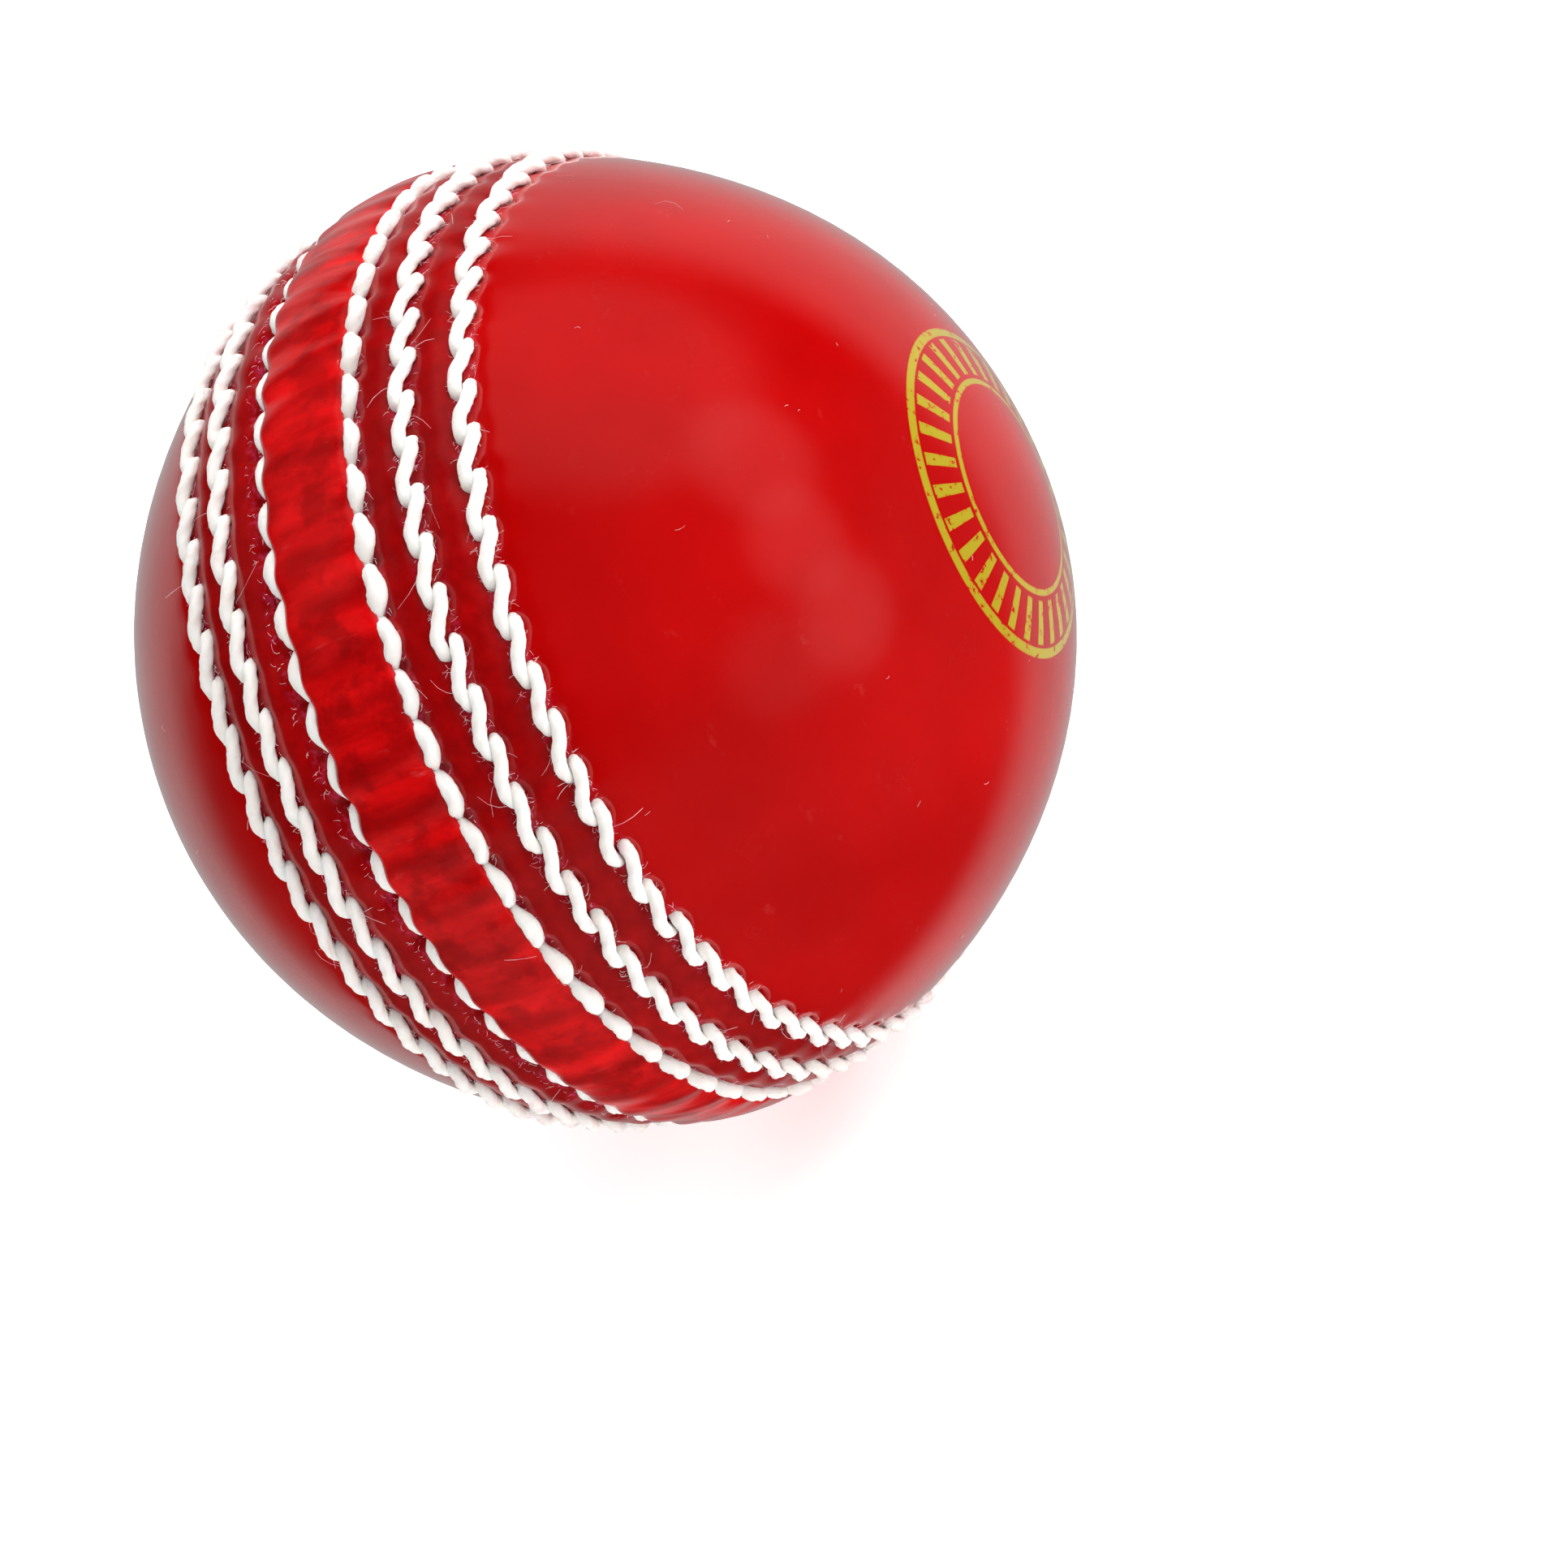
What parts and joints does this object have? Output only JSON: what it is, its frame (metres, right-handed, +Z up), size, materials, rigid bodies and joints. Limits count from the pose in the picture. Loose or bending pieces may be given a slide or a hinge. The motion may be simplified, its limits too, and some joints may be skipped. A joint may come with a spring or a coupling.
{
  "type": "cricket ball",
  "caption": "Hard red leather ball with a raised stitched seam round its middle, over a wound cork and twine core.",
  "frame": {"origin": "centre of the ball", "axes": "+Y along the polar axis, from the centre through the middle of the right cover half; the seam lies in the XZ plane; +Z up"},
  "size_m": [0.0742, 0.0704, 0.0742],
  "materials": {
    "red_leather": "polished, dyed deep red",
    "liner_leather": "undyed, matt",
    "linen_thread": "waxed, twisted",
    "wool_twine": "matt, wound",
    "sheet_cork": "matt, cut",
    "cork_rubber": "matt, moulded granules"
  },
  "bodies": {
    "root": {"core_nucleus": "cork_rubber", "twine_layer_1": "wool_twine", "cork_wrap_1": "sheet_cork", "twine_layer_2": "wool_twine", "cork_wrap_2": "sheet_cork", "twine_layer_3": "wool_twine", "cork_wrap_3": "sheet_cork", "twine_layer_4": "wool_twine", "cork_wrap_4": "sheet_cork", "outer_twine_winding": "wool_twine", "cover_half_left": "red_leather", "rim_liner_left": "liner_leather", "middle_row_thread_left": "linen_thread", "outer_row_thread_left": "linen_thread", "cover_half_right": "red_leather", "rim_liner_right": "liner_leather", "middle_row_thread_right": "linen_thread", "outer_row_thread_right": "linen_thread", "closing_thread_first": "linen_thread", "closing_thread_second": "linen_thread", "seam_strip": "red_leather"}
  },
  "joints": []
}
